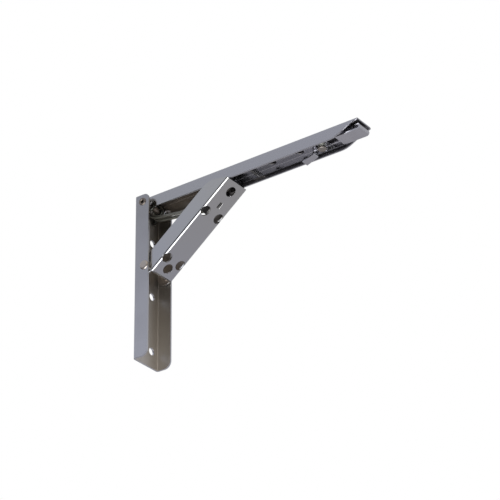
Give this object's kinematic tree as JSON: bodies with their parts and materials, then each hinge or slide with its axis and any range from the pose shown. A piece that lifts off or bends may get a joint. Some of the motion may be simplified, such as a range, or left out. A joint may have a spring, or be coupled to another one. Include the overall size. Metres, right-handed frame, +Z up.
{
  "type": "folding shelf bracket",
  "caption": "Folding shelf bracket: wall channel, hinged arm and hinged strut of folded stainless sheet, with a spring latch bar that locks the arm level.",
  "frame": {"origin": "centre of the wall screw pattern, on the mounting face of the wall channel", "axes": "+X out of the wall along the arm, +Y to the side along the hinge pin, +Z up"},
  "size_m": [0.241, 0.0378, 0.165],
  "materials": {
    "polished_steel": "satin polished stainless sheet",
    "latch_steel": "plain rolled stainless sheet",
    "plain_steel": "tumbled stainless",
    "rivet_steel": "bright rivet wire",
    "spring_steel": "drawn spring wire",
    "roller_plastic": "moulded black acetal"
  },
  "bodies": {
    "wall": {"wall_channel": "polished_steel", "hinge_pin": "rivet_steel", "hinge_spacer_left": "plain_steel", "hinge_spacer_right": "plain_steel", "hinge_spring": "spring_steel", "strut_rivet_left": "rivet_steel", "strut_rivet_right": "rivet_steel", "strut_washer_left": "plain_steel", "strut_washer_right": "plain_steel"},
    "arm": {"arm_channel": "polished_steel", "latch_saddle": "plain_steel", "saddle_rivet": "rivet_steel", "latch_pivot_pin": "rivet_steel", "latch_stud": "rivet_steel", "latch_spring": "spring_steel"},
    "strut": {"strut_channel": "polished_steel", "slide_carriage": "plain_steel", "carriage_pin": "rivet_steel"},
    "roller": {"carriage_roller": "roller_plastic"},
    "latch": {"latch_bar": "latch_steel"}
  },
  "joints": [
    {"name": "arm_fold", "type": "hinge", "parent": "wall", "child": "arm", "pos_m": [0.009, 0, 0.0863], "axis": [0, 1, 0], "range_deg": [0, 87], "deforming": ["hinge_spring"]},
    {"name": "strut_swing", "type": "hinge", "parent": "wall", "child": "strut", "pos_m": [0.0116, 0, 0.0195], "axis": [0, 1, 0], "range_deg": [0, 128]},
    {"name": "roller_spin", "type": "hinge", "parent": "strut", "child": "roller", "pos_m": [0.08948, 0, 0.08225], "axis": [0, 1, 0], "continuous": true},
    {"name": "latch_tilt", "type": "hinge", "parent": "arm", "child": "latch", "pos_m": [0.121, 0, 0.0869], "axis": [0, 1, 0], "range_deg": [0, 2.4], "stiffness_Nm_per_rad": 1, "springref_deg": -5.73, "deforming": ["latch_spring"]}
  ],
  "couplings": [
    {"joint": "strut_swing", "follows": "arm_fold", "ratio": 1.4713}
  ]
}
